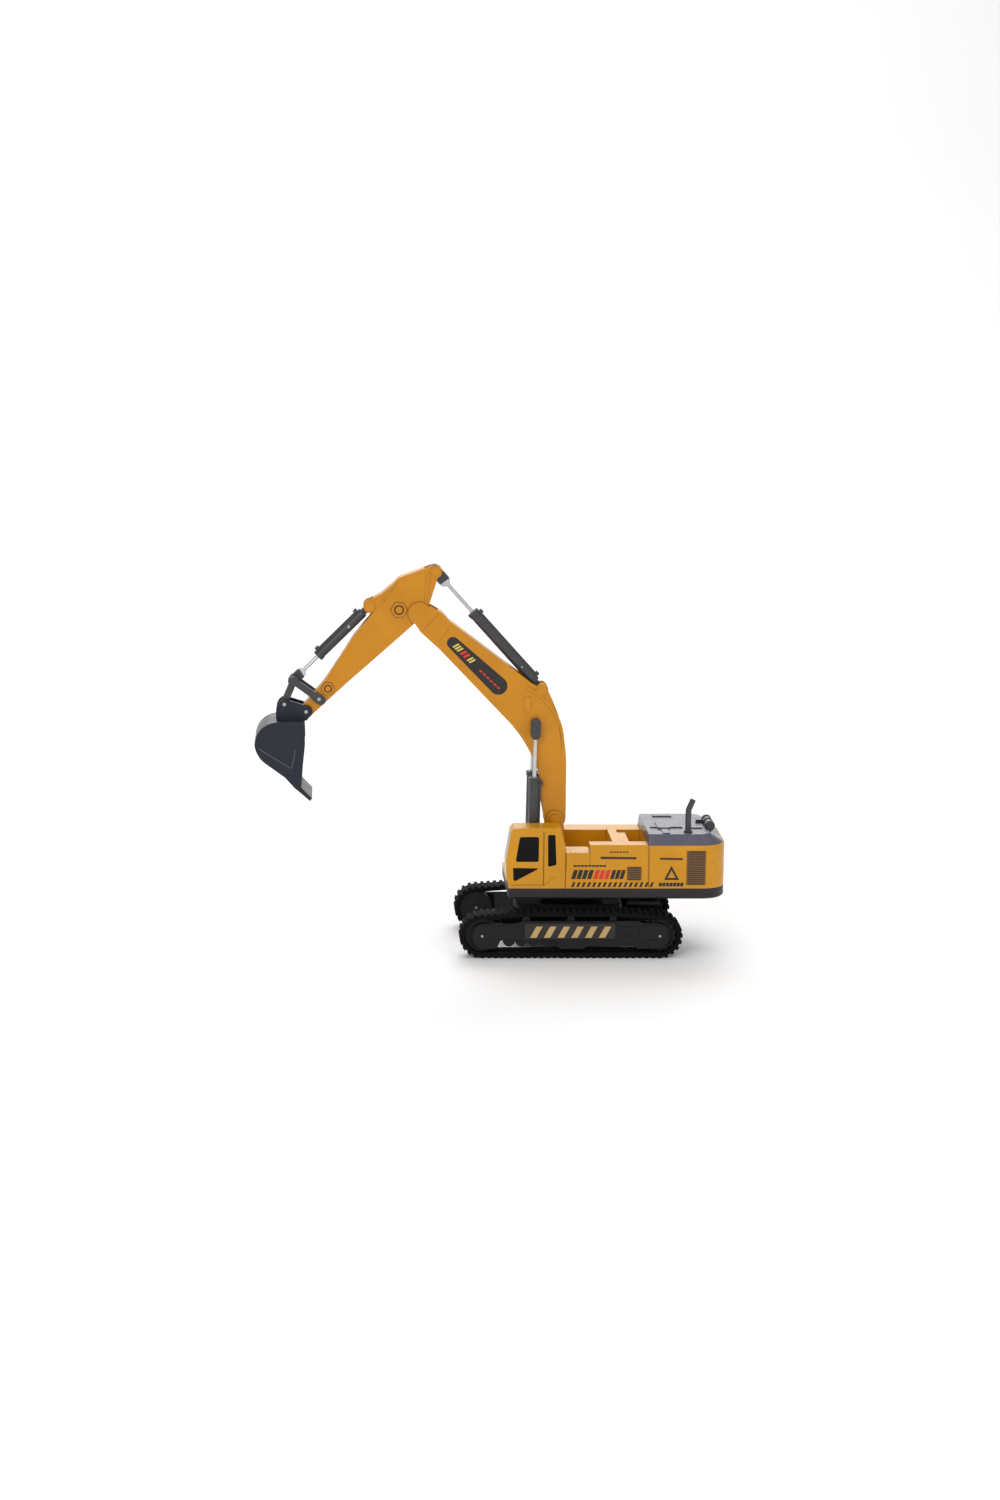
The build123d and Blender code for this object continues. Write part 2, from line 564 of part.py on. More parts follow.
def silencer():
    """Cross-mounted silencer can on the hood's rear slope, with end rings and a feed pipe."""
    centre = (-115.4, HOOD_TOP_Z + 1.8)
    can = cross_rod(centre, 3.4, -12.0, 18.0)
    for y in (-10.0, 0.5, 13.0):
        can += cross_rod(centre, 4.1, y, y + 3.0)
    foot = block((centre[0] - 3, centre[0] + 3.5), (-6, 12), (HOOD_TOP_Z - 1.2, centre[1]))
    feed = block((centre[0] + 2, centre[0] + 9), (-8.0, -4.5), (HOOD_TOP_Z - 0.5, HOOD_TOP_Z + 2.4))
    return can + foot + feed - hood_form(0)


def boom_bracket():
    """Two cheeks on a floor plate: boom pivot above, cylinder feet in front."""
    cheek = outline((1, WELL_FLOOR_Z), (34, WELL_FLOOR_Z), (34, 78), (23.5, 83), (19.5, 90), (18, 100),
                    (18, 105.5), (4, 105.5), (3, 90))
    cheek += disc(BOOM_PIVOT, 7.0) + disc(BOOM_BARREL_PIN, 4.8)
    inner_y = BOOM_HALF + 0.4
    cheeks = slab(cheek, inner_y, inner_y + 2.0)
    cheeks += cross_rod(BOOM_PIVOT, 4.2, inner_y + 1.5, inner_y + 4.2)
    cheeks -= cross_rod(BOOM_PIVOT, PIVOT_R, inner_y - 1, inner_y + 2.6)
    cheeks -= cross_rod(BOOM_BARREL_PIN, PIN_R, inner_y - 1, inner_y + 3)
    floor = block((1, 34), (-inner_y - 2.0, inner_y + 2.0), (WELL_FLOOR_Z, WELL_FLOOR_Z + 2.0))
    return cheeks + mirrored(cheeks) + floor


def upper_structure():
    parts["platform"] = platform()
    parts["body_shell"] = body_shell()
    parts["cab_shell"] = cab_shell()
    parts["cab_windows"] = cab_windows()
    parts["engine_hood"] = engine_hood()
    parts["exhaust_stack"] = exhaust_stack()
    parts["silencer"] = silencer()
    for name, panel in (("side_grilles", louvres(GRILLE_X, GRILLE_Z, 16)),
                        ("vent_covers", louvres(BADGE_X, BADGE_Z, 6))):
        parts[name] = Compound([panel, mirrored(panel)])
    parts["boom_bracket"] = boom_bracket()
    reach = BOOM_HALF + 3.0
    parts["boom_pivot_pin"] = cross_rod(BOOM_PIVOT, PIVOT_R, -reach, reach)
    foot_reach = CYLINDER_Y + 4.4
    parts["boom_foot_pin"] = cross_rod(BOOM_BARREL_PIN, PIN_R, -foot_reach, foot_reach)
    gearbox = block((4, 22), (-8, 8), (WELL_FLOOR_Z + 2.0, 92.0))
    parts["boom_gearbox"] = fillet(upright_edges(gearbox), 2.0)


# ---- boom ----
def boom_outline():
    """Side view of the bent boom, nose at the top front, foot at the bottom."""
    side = filled(
        Line((2.0, 105.5), (2.2, 150.0)),
        ThreePointArc((2.2, 150.0), (7.2, 185.0), (17.6, 211.0)),
        Polyline((17.6, 211.0), (30.5, 217.3), (98.5, 268.8), (104.5, 275.6), (114.5, 281.2),
                 (122.8, 275.0), (126.0, 266.0), (121.5, 259.5), (106.0, 245.4), (47.0, 183.4)),
        ThreePointArc((47.0, 183.4), (31.5, 160.0), (23.6, 140.0)),
        Polyline((23.6, 140.0), (22.4, 121.0), (20.0, 108.0), (11.0, 100.0), (2.0, 105.5)),
    )
    return side + disc(STICK_PIVOT, 9.2) + disc(STICK_BARREL_PIN, 5.2) + disc(BOOM_PIVOT, 8.8)


def boom_side():
    """Left half of the boom: a moulded half shell with cheeks at the nose and the elbow."""
    side = boom_outline()
    shell = slab(side, 0, BOOM_HALF)
    face_edges = shell.faces().sort_by(Axis.Y)[-1].edges()
    shell = chamfer(face_edges, 0.5)
    inside = outline((5.0, 118), (4.6, 150), (9.0, 180), (20, 203), (34, 212), (96, 259), (104, 250),
                     (44, 187), (29, 163), (20.5, 141), (19.5, 118))
    shell -= slab(inside, -1, BOOM_HALF - SHELL)
    shell += slab(elbow_ridge(), BOOM_HALF - 0.4, BOOM_HALF + 0.5)
    shell += slab(rounded(outline((37.4, 207.0), (31.6, 207.0), (31.6, 194.3), (37.4, 194.3)), 2.5),
                  BOOM_HALF - 0.5, BOOM_HALF + 0.6)
    shell += cross_rod(STICK_BARREL_PIN, 4.6, BOOM_HALF - 0.5, BOOM_HALF + 0.6)
    shell -= slab(disc(STICK_PIVOT, 15.0), -1, STICK_HALF + GAP)
    shell -= slab(disc(STICK_BARREL_PIN, 6.8), -1, 3.4)
    throat = bar(STICK_BARREL_PIN, along(STICK_BARREL_PIN, STICK_ROD_PIN, 60), 14.5)
    shell -= slab(throat, -1, BARREL_R + 0.6)
    shell -= cross_rod(BOOM_PIVOT, PIVOT_R + RUNNING, -1, BOOM_HALF + 1)
    shell -= cross_rod(BOOM_ROD_PIN, PIN_R, -1, BOOM_HALF + 1)
    shell -= cross_rod(STICK_PIVOT, PIVOT_R, -1, BOOM_HALF - 0.7)
    shell -= cross_rod(STICK_BARREL_PIN, PIN_R, -1, BOOM_HALF - 0.7)
    for centre in BOOM_SCREWS:
        shell += slab(disc(centre, 2.6) & boom_outline(), 0, BOOM_HALF - 0.5)
        shell -= cross_rod(centre, 1.0, -1, BOOM_HALF - 2.0)
    return shell


def elbow_ridge():
    """Raised rib that follows the back of the elbow."""
    outer = ThreePointArc((4.2, 172.0), (9.8, 192.0), (34.0, 215.0))
    inner = ThreePointArc((36.0, 213.4), (12.4, 191.2), (6.2, 172.0))
    return filled(outer, Line((34.0, 215.0), (36.0, 213.4)), inner, Line((6.2, 172.0), (4.2, 172.0)))


def cylinder_barrel(foot, rod_end, length, radius, eye_half, centre_y):
    """Cylinder tube with a foot eye, an end gland, a side pipe and its ports."""
    eye = disc(foot, 3.6) + bar(foot, along(foot, rod_end, 9.0), 5.2)
    barrel = slab(eye, -eye_half, eye_half)
    axis = Plane(origin=tube_point(foot, rod_end, 8.0), z_dir=tube_direction(foot, rod_end),
                 x_dir=(0, 1, 0))
    tube_length = length - 8.0
    barrel += axis * extrude(Circle(radius), tube_length)
    barrel += axis * Pos(0, 0, tube_length - 3.5) * extrude(Circle(radius + 0.5), 3.5)
    barrel -= axis * Pos(0, 0, 4.0) * extrude(Circle(radius - 1.3), tube_length - 6.5)
    barrel -= axis * Pos(0, 0, tube_length - 4) * extrude(Circle(ROD_R + 0.3), 5)
    barrel -= cross_rod(foot, PIN_R + RUNNING, -10, 10)
    return Pos(0, centre_y, 0) * barrel, axis, tube_length


def tube_point(start, end, distance):
    x, z = along(start, end, distance)
    return (x, 0, z)


def tube_direction(start, end):
    return (end[0] - start[0], 0, end[1] - start[1])


def side_pipe(axis, tube_length, radius, side):
    """Thin oil pipe along one side of a barrel, ending in two raised ports."""
    ports = Pos(side * (radius + 0.7), 0, 2.0) * extrude(Rectangle(3.6, 3.6), 3.4)
    ports += Pos(side * (radius + 0.7), 0, tube_length - 6.0) * extrude(Rectangle(3.6, 3.6), 3.4)
    pipe = Pos(side * (radius + 0.2), 0, 3.0) * extrude(Circle(0.8), tube_length - 6.0)
    core = Pos(0, 0, 0) * extrude(Circle(radius - 0.5), tube_length)
    return axis * (ports + pipe - core)


def rod_axis(foot, rod_end):
    return Plane(origin=(rod_end[0], 0, rod_end[1]), z_dir=tube_direction(rod_end, foot), x_dir=(0, 1, 0))


def piston_rod(foot, rod_end, reach, barrel_radius):
    """Bright rod with its piston, measured back from the rod pin."""
    axis = rod_axis(foot, rod_end)
    rod = axis * Pos(0, 0, 6.0) * extrude(Circle(ROD_R), reach - 6.0)
    return rod + axis * Pos(0, 0, reach - 4.0) * extrude(Circle(barrel_radius - 1.3 - GAP), 4.0)


def slotted_eye(foot, rod_end, width, length, half, slack_side, slack_along):
    """Rod end fork: an eye whose hole leaves room round the pin."""
    tip = along(rod_end, foot, -width * 0.15)
    form = bar(tip, along(rod_end, foot, length - width / 2), width)
    eye = slab(form, -half, half)
    hole = 2 * (PIN_R + slack_side)
    slot = bar(along(rod_end, foot, -slack_along), along(rod_end, foot, slack_along), hole)
    return eye - slab(slot, -half - 1, half + 1)


def boom_cylinders():
    length = BOOM_BARREL_LENGTH
    barrel, axis, tube = cylinder_barrel(BOOM_BARREL_PIN, BOOM_ROD_PIN, length, BARREL_R, 2.6, CYLINDER_Y)
    barrel += Pos(0, CYLINDER_Y, 0) * side_ports(BOOM_BARREL_PIN, BOOM_ROD_PIN, 8.0, tube, BARREL_R, -1)
    both_sides("boom_barrel", barrel)
    cap = bar(along(BOOM_ROD_PIN, BOOM_BARREL_PIN, -2.2), along(BOOM_ROD_PIN, BOOM_BARREL_PIN, 7.0), 8.0)
    cap_low, cap_high = CYLINDER_Y - 3.9, CYLINDER_Y + 3.9
    head = slab(cap, cap_low, cap_high)
    head = fillet(head.faces().sort_by(Axis.Y)[-1].edges(), 1.6)
    slot = bar(along(BOOM_ROD_PIN, BOOM_BARREL_PIN, -1.0), along(BOOM_ROD_PIN, BOOM_BARREL_PIN, 1.2), 5.0)
    head -= slab(slot, cap_low - 1, cap_high - 1.6)
    rod = Pos(0, CYLINDER_Y, 0) * piston_rod(BOOM_BARREL_PIN, BOOM_ROD_PIN, 72.0, BARREL_R)
    both_sides("boom_rod", rod + head)


def side_ports(foot, rod_end, start, tube_length, radius, side):
    """Ports and oil pipe on the barrel's face that looks along the machine."""
    x, z = along(foot, rod_end, start)
    axis = Plane(origin=(x, 0, z), z_dir=tube_direction(foot, rod_end),
                 x_dir=cross_direction(foot, rod_end))
    return side_pipe(axis, tube_length, radius, side)


def cross_direction(foot, rod_end):
    """Direction square to the cylinder, in the side view."""
    return (rod_end[1] - foot[1], 0, foot[0] - rod_end[0])


def boom():
    both_sides("boom_shell", boom_side())
    screws = []
    for centre in BOOM_SCREWS:
        screw = cross_rod(centre, 1.0, -BOOM_HALF + 2.5, BOOM_HALF - 2.5)
        head = cross_rod(centre, 2.0, -BOOM_HALF + 0.4, -BOOM_HALF + 2.5)
        parts["boom_shell_right"] -= cross_rod(centre, 2.0, -BOOM_HALF - 1, -BOOM_HALF + 2.5)
        screws.append(screw + head)
    parts["boom_screws"] = Compound(screws)
    parts["boom_rod_pin"] = cross_rod(BOOM_ROD_PIN, PIN_R, -CYLINDER_Y - 2.0, CYLINDER_Y + 2.0)
    boom_cylinders()
    reach = BOOM_HALF - 0.7
    parts["stick_pivot_pin"] = cross_rod(STICK_PIVOT, PIVOT_R, -reach, reach)
    parts["stick_barrel_pin"] = cross_rod(STICK_BARREL_PIN, PIN_R, -reach, reach)
    gearbox = Pos(62.0, 219.5) * Rot(0, 0, 41.8) * rounded(Rectangle(24, 14), 2.0)
    parts["stick_gearbox"] = slab(gearbox, -6.3, 6.3)


# ---- stick ----
def stick_outline():
    """Side view of the stick: cylinder horn above, bucket end below."""
    main = outline((111.8, 314.0), (139.4, 303.9), (146.6, 291.7), (159.5, 276.2), (175.8, 256.8),
                   (188.4, 236.6), (200.0, 219.0), (217.6, 198.6), (211.0, 190.4), (183.0, 216.4),
                   (154.0, 242.2), (128.0, 265.4), (115.8, 279.0), (106.3, 309.6))
    bracket = outline((139.0, 304.2), (144.4, 298.6), (153.1, 291.2), (162.8, 286.2), (168.2, 281.6),
                      (161.0, 275.5), (150.0, 285.0))
    bosses = disc(STICK_PIVOT, 8.0) + disc(BUCKET_BARREL_PIN, 5.4) + disc(STICK_ROD_PIN, 5.0)
    return main + bracket + bosses + disc(BUCKET_PIVOT, 5.0)


def hexagon(centre, radius):
    return Pos(*centre) * RegularPolygon(radius, 6)


def stick_side():
    """Left half of the stick with its raised rib, hexagon bosses and pin bosses."""
    shell = slab(stick_outline(), 0, STICK_HALF)
    inside = outline((119.0, 300.0), (136.0, 294.0), (152.0, 270.0), (178.0, 236.0), (192.0, 216.0),
                     (184.0, 218.5), (158.0, 241.5), (139.5, 258.0), (134.0, 276.0), (121.0, 290.0))
    shell -= slab(inside, -1, STICK_HALF - SHELL)
    shell += slab(bar((117.6, 286.5), (115.6, 306.5), 2.4), STICK_HALF - 0.4, STICK_HALF + 0.5)
    shell += slab(bar((146.0, 292.5), (158.6, 277.4), 1.6), STICK_HALF - 0.4, STICK_HALF + 0.4)
    for centre, size in ((HEX_BOSSES[0], 6.6), (HEX_BOSSES[1], 5.4)):
        ring = hexagon(centre, size) - disc(centre, size * 0.62) + disc(centre, size * 0.42)
        shell += slab(ring, STICK_HALF - 0.5, STICK_HALF + 0.9)
    for centre in (STICK_ROD_PIN, BUCKET_BARREL_PIN):
        shell += cross_rod(centre, 4.2, STICK_HALF - 0.4, STICK_HALF + 0.5)
        shell -= cross_rod(centre, PIN_R, -1, STICK_HALF - 0.6)
    fork = bar(STICK_ROD_PIN, along(STICK_ROD_PIN, STICK_BARREL_PIN, 26.0), 19.0)
    shell -= slab(fork, -1, 4.3)
    saddle = bar(BUCKET_BARREL_PIN, along(BUCKET_BARREL_PIN, LINK_TOP_PIN, 40.0), 14.5)
    shell -= slab(saddle, -1, 4.8)
    shell -= cross_rod(STICK_PIVOT, PIVOT_R + RUNNING, -1, STICK_HALF + 1)
    shell -= cross_rod(LEVER_PIN, PIN_R, -1, STICK_HALF + 1)
    shell -= cross_rod(BUCKET_PIVOT, PIN_R + RUNNING, -1, STICK_HALF + 1)
    return shell


def stick_cylinder():
    barrel, _, tube = cylinder_barrel(STICK_BARREL_PIN, STICK_ROD_PIN, STICK_BARREL_LENGTH,
                                      BARREL_R, 3.0, 0)
    barrel += side_ports(STICK_BARREL_PIN, STICK_ROD_PIN, 8.0, tube, BARREL_R, -1)
    parts["stick_barrel"] = barrel
    rod = piston_rod(STICK_BARREL_PIN, STICK_ROD_PIN, 66.0, BARREL_R)
    eye = slotted_eye(STICK_BARREL_PIN, STICK_ROD_PIN, 9.4, 15.0, 3.8, 1.9, 1.6)
    parts["stick_rod"] = rod + eye


def stick():
    both_sides("stick_shell", stick_side())
    stick_cylinder()
    reach = STICK_HALF - 0.6
    ends = (STICK_ROD_PIN, BUCKET_BARREL_PIN)
    parts["stick_pins"] = Compound([cross_rod(centre, PIN_R, -reach, reach) for centre in ends])
    parts["lever_pin"] = cross_rod(LEVER_PIN, PIN_R, -STICK_HALF - 3.0, STICK_HALF + 3.0)
    gearbox = Pos(153.0, 257.0) * Rot(0, 0, -50) * rounded(Rectangle(16, 9), 1.5)
    parts["bucket_gearbox"] = slab(gearbox, -4.6, 4.6)


# ---- bucket linkage ----
def bucket_linkage():
    barrel, _, tube = cylinder_barrel(BUCKET_BARREL_PIN, LINK_TOP_PIN, BUCKET_BARREL_LENGTH,
                                      BUCKET_BARREL_R, 3.0, 0)
    barrel += side_ports(BUCKET_BARREL_PIN, LINK_TOP_PIN, 8.0, tube, BUCKET_BARREL_R, -1)
    parts["bucket_barrel"] = barrel
    rod = piston_rod(BUCKET_BARREL_PIN, LINK_TOP_PIN, 48.0, BUCKET_BARREL_R)
    eye = slotted_eye(BUCKET_BARREL_PIN, LINK_TOP_PIN, 8.2, 12.0, 3.2, 1.2, 0.6)
    parts["bucket_rod"] = rod + eye
    lever = bar(LEVER_PIN, LINK_TOP_PIN, 5.6) + disc(LINK_TOP_PIN, 3.9)
    foot = bar(along(LEVER_PIN, LINK_TOP_PIN, -2.0), along(LEVER_PIN, LINK_TOP_PIN, 3.5), 7.4)
    inner_y = STICK_HALF + 1.0
    plate = slab(lever + foot, inner_y, inner_y + 2.2)
    plate -= cross_rod(LEVER_PIN, PIN_R + RUNNING, 0, 20)
    pin = cross_rod(LINK_TOP_PIN, PIN_R, 0, inner_y + 2.8)
    half = plate + pin
    parts["bucket_lever"] = half + mirrored(half)
    link = bar(LINK_TOP_PIN, LINK_BUCKET_PIN, 5.4) + disc(LINK_TOP_PIN, 3.8)
    link_half = slab(link, 3.7, 5.9)
    link_half -= cross_rod(LINK_TOP_PIN, PIN_R + 1.0, 0, 20)
    link_half -= cross_rod(LINK_BUCKET_PIN, PIN_R + RUNNING, 0, 20)
    web_low = along(LINK_TOP_PIN, LINK_BUCKET_PIN, 8.5)
    web_high = along(LINK_TOP_PIN, LINK_BUCKET_PIN, 13.0)
    web = slab(bar(web_low, web_high, 2.2), -4.0, 4.0)
    parts["bucket_link"] = link_half + mirrored(link_half) + web


# ---- bucket ----
def bucket_profile():
    """Side view of the bucket: back curve, lip, and the mouth that faces the machine."""
    return filled(
        Line((216.0, 188.4), (238.0, 188.2)),
        ThreePointArc((238.0, 188.2), (252.3, 181.0), (256.3, 168.8)),
        ThreePointArc((256.3, 168.8), (253.2, 160.4), (246.2, 153.2)),
        Polyline((246.2, 153.2), (231.6, 142.6), (222.6, 132.6), (219.0, 132.6), (217.0, 153.0),
                 (215.3, 170.0), (216.0, 188.4)),
    )


def bucket_shell():
    wall = 1.9
    profile = bucket_profile()
    shell = slab(profile, -BUCKET_HALF, BUCKET_HALF)
    hollow = offset(profile, -wall)
    mouth = outline((205, 186.3), (222, 186.3), (224, 139.0), (221.5, 135.2), (205, 135.2))
    shell -= slab(hollow + mouth, -BUCKET_HALF + wall, BUCKET_HALF - wall)
    lip = outline((224.0, 134.2), (211.3, 123.2), (209.6, 125.4), (218.8, 134.9), (222.0, 137.6))
    shell += slab(lip, -BUCKET_HALF, BUCKET_HALF)
    cheek = outline((215.6, 172.0), (218.4, 134.0), (221.6, 134.0), (219.8, 172.0))
    for side in (-1, 1):
        y = side * (BUCKET_HALF + 0.2)
        shell += slab(cheek, y - 0.7, y + 0.7)
    inner_y = STICK_HALF + 0.4
    ear = outline((236.6, 202.2), (234.0, 204.4), (229.2, 204.2), (217.0, 200.4), (210.8, 197.6),
                  (209.4, 193.4), (214.0, 187.2), (238.6, 186.9), (239.2, 193.2), (238.4, 199.0))
    ears = slab(ear + disc(BUCKET_PIVOT, 5.2), inner_y, inner_y + 2.4)
    ears -= cross_rod(BUCKET_PIVOT, PIN_R, 0, 20)
    ears -= cross_rod(LINK_BUCKET_PIN, PIN_R, 0, 20)
    shell += ears + mirrored(ears)
    return shell - cross_rod(BUCKET_PIVOT, 6.3, -inner_y, inner_y)


def bucket():
    parts["bucket"] = bucket_shell()
    reach = STICK_HALF + 3.3
    ends = (BUCKET_PIVOT, LINK_BUCKET_PIN)
    parts["bucket_pins"] = Compound([cross_rod(centre, PIN_R, -reach, reach) for centre in ends])


undercarriage()
upper_structure()
boom()
stick()
bucket_linkage()
bucket()
for name, part in parts.items():
    export_step(Pos(SLEW_AXIS_X, 0, 0) * part, os.path.join("parts", name + ".step"))
print(len(parts), "nodes")
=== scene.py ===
import json
import math

import bmesh
import bpy
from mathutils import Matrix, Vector


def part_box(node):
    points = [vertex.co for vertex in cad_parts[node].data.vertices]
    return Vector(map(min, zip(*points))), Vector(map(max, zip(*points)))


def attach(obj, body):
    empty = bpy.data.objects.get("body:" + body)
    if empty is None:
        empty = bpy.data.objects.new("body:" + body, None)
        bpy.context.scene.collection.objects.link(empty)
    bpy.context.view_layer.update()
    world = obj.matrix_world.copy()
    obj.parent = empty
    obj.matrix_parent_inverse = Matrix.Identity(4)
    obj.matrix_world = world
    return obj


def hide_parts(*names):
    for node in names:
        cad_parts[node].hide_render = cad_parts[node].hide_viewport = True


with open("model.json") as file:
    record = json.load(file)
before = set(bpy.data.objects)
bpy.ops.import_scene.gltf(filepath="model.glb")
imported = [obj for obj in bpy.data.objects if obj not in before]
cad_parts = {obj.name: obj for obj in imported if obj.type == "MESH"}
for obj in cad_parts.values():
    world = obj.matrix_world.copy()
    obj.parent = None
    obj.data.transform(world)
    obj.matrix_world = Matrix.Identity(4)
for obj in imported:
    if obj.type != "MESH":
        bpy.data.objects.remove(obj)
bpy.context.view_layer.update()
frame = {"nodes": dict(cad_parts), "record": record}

NODES = frame["nodes"]
RECORD = frame["record"]
MM = 0.001


# ---- places taken from the frame ----
def joint_place(name):
    """(x, z) in millimetres of a joint's axis."""
    for joint in RECORD["behaviour"]["joints"]:
        if joint["name"] == name:
            return joint["pos_m"][0] / MM, joint["pos_m"][2] / MM
    raise KeyError(name)


SLEW_X = joint_place("slew")[0]


# ---- materials ----
class Nodes:
    """A small helper for writing shader graphs in a few lines."""

    def __init__(self, name):
        self.material = bpy.data.materials.new(name)
        self.material.use_nodes = True
        self.tree = self.material.node_tree
        self.shader = self.tree.nodes["Principled BSDF"]

    def add(self, kind, **values):
        node = self.tree.nodes.new(kind)
        for key, value in values.items():
            setattr(node, key, value)
        return node

    def link(self, output, socket):
        self.tree.links.new(output, socket)

    def noise(self, scale, detail=4.0, rough=0.55, stretch=None):
        """Noise in object space; scale is in cells per metre."""
        coords = self.add("ShaderNodeTexCoord")
        texture = self.add("ShaderNodeTexNoise")
        texture.inputs["Scale"].default_value = scale
        texture.inputs["Detail"].default_value = detail
        texture.inputs["Roughness"].default_value = rough
        source = coords.outputs["Object"]
        if stretch:
            mapping = self.add("ShaderNodeMapping")
            mapping.inputs["Scale"].default_value = stretch
            self.link(source, mapping.inputs["Vector"])
            source = mapping.outputs["Vector"]
        self.link(source, texture.inputs["Vector"])
        return texture.outputs["Fac"]

    def spread(self, value, low, high, out_low=0.0, out_high=1.0):
        node = self.add("ShaderNodeMapRange")
        node.inputs["From Min"].default_value = low
        node.inputs["From Max"].default_value = high
        node.inputs["To Min"].default_value = out_low
        node.inputs["To Max"].default_value = out_high
        self.link(value, node.inputs["Value"])
        return node.outputs["Result"]

    def mix(self, factor, first, second):
        node = self.add("ShaderNodeMix", data_type="RGBA")
        for socket, value in ((node.inputs[6], first), (node.inputs[7], second)):
            if isinstance(value, tuple):
                socket.default_value = (*value, 1.0)
            else:
                self.link(value, socket)
        self.link(factor, node.inputs[0])
        return node.outputs[2]

    def maths(self, operation, first, second):
        node = self.add("ShaderNodeMath", operation=operation)
        for socket, value in zip(node.inputs, (first, second)):
            if isinstance(value, (int, float)):
                socket.default_value = value
            else:
                self.link(value, socket)
        return node.outputs[0]

    def painted_cavity_shade(self, reach):
        """Painted shade mask from ambient occlusion: 1 deep in seams and against other parts, 0 on open
        surfaces.
        """
        shade = self.add("ShaderNodeAmbientOcclusion", samples=8)
        shade.inputs["Distance"].default_value = reach
        return self.spread(shade.outputs["AO"], 0.85, 0.30)

    def edges(self, radius):
        """1 on sharp edges, 0 on flats, and the softened normal."""
        bevel = self.add("ShaderNodeBevel", samples=6)
        bevel.inputs["Radius"].default_value = radius
        geometry = self.add("ShaderNodeNewGeometry")
        dot = self.add("ShaderNodeVectorMath", operation="DOT_PRODUCT")
        self.link(bevel.outputs["Normal"], dot.inputs[0])
        self.link(geometry.outputs["Normal"], dot.inputs[1])
        return self.spread(dot.outputs["Value"], 0.995, 0.80), bevel.outputs["Normal"]


def moulded(name, colour, edge_colour, rough=0.42, grain=0.06, coat=0.0, edge=0.35, radius=0.35,
            metallic=0.0, tone=0.06, specular=0.5, cavity_shade=0.6):
    """Painted or moulded plastic: slight cloudiness, fine surface grain, softened edges lightened partly by
    wear and partly as painted highlight, and painted shade in seams and corners.
    """
    n = Nodes(name)
    cloud = n.noise(26.0, 5.0, 0.6)
    fine = n.noise(900.0, 3.0, 0.6)
    dark = tuple(c * (1 - tone) for c in colour)
    light = tuple(min(1.0, c * (1 + tone)) for c in colour)
    base = n.mix(n.spread(cloud, 0.35, 0.65), dark, light)
    mask, normal = n.edges(radius * MM)
    # Edges lighten towards edge_colour, partly as wear and partly as a painted highlight.
    rubbed_and_lit_edge = n.maths("MULTIPLY", mask, n.spread(n.noise(240.0, 5.0, 0.7), 0.35, 0.65, 0.15, 1.0))
    rubbed_and_lit_edge = n.maths("MULTIPLY", rubbed_and_lit_edge, edge)
    base = n.mix(rubbed_and_lit_edge, base, edge_colour)
    # Painted shade: where ambient occlusion finds seams and neighbouring parts, the colour darkens towards
    # 0.18 of itself.
    painted_shade = n.maths("MULTIPLY", n.painted_cavity_shade(2.2 * MM), cavity_shade)
    base = n.mix(painted_shade, base, tuple(0.18 * c for c in colour))
    n.link(base, n.shader.inputs["Base Color"])
    rough_map = n.spread(n.noise(70.0, 6.0, 0.65), 0.3, 0.7, rough - 0.07, rough + 0.09)
    n.link(rough_map, n.shader.inputs["Roughness"])
    bump = n.add("ShaderNodeBump")
    bump.inputs["Strength"].default_value = grain
    bump.inputs["Distance"].default_value = 0.0002
    n.link(fine, bump.inputs["Height"])
    n.link(normal, bump.inputs["Normal"])
    n.link(bump.outputs["Normal"], n.shader.inputs["Normal"])
    n.shader.inputs["Metallic"].default_value = metallic
    n.shader.inputs["Specular IOR Level"].default_value = specular
    n.shader.inputs["Coat Weight"].default_value = coat
    n.shader.inputs["Coat Roughness"].default_value = 0.18
    return n.material


def turned_metal(name, colour, rough=0.2, radius=0.2):
    """Bright rod or pin: fine turning lines round it and faint smudges."""
    n = Nodes(name)
    lines = n.noise(400.0, 3.0, 0.6, (1.0, 0.05, 1.0))
    smudge = n.noise(120.0, 5.0, 0.6)
    base = n.mix(n.spread(smudge, 0.35, 0.7), tuple(0.86 * c for c in colour), colour)
    n.link(base, n.shader.inputs["Base Color"])
    n.link(n.spread(smudge, 0.3, 0.7, rough - 0.06, rough + 0.12), n.shader.inputs["Roughness"])
    n.shader.inputs["Metallic"].default_value = 1.0
    _, normal = n.edges(radius * MM)
    bump = n.add("ShaderNodeBump")
    bump.inputs["Strength"].default_value = 0.05
    bump.inputs["Distance"].default_value = 0.0001
    n.link(lines, bump.inputs["Height"])
    n.link(normal, bump.inputs["Normal"])
    n.link(bump.outputs["Normal"], n.shader.inputs["Normal"])
    return n.material


# The second colour of each material is its edge colour: lighter, partly for wear and partly as painted
# highlight.
ORANGE = moulded("orange_paint", (0.560, 0.222, 0.0025), (0.80, 0.40, 0.06), rough=0.30,
                 specular=0.36, edge=0.30)
BODY_ORANGE = moulded("body_paint", (0.600, 0.262, 0.0035), (0.84, 0.46, 0.08), rough=0.30,
                      specular=0.36, edge=0.35)
BLACK = moulded("black_moulding", (0.0060, 0.0055, 0.0058), (0.085, 0.083, 0.087), rough=0.52,
                grain=0.10, edge=0.5, specular=0.28)
SKIRT = moulded("skirt_moulding", (0.022, 0.018, 0.022), (0.075, 0.068, 0.075), rough=0.45,
                grain=0.08, specular=0.30)
TRACK = moulded("track_rubber", (0.0042, 0.0040, 0.0041), (0.020, 0.019, 0.019), rough=0.85,
                grain=0.20, edge=0.45, specular=0.12)
GUNMETAL = moulded("gunmetal", (0.038, 0.038, 0.044), (0.17, 0.17, 0.19), rough=0.34,
                   grain=0.05, specular=0.5)
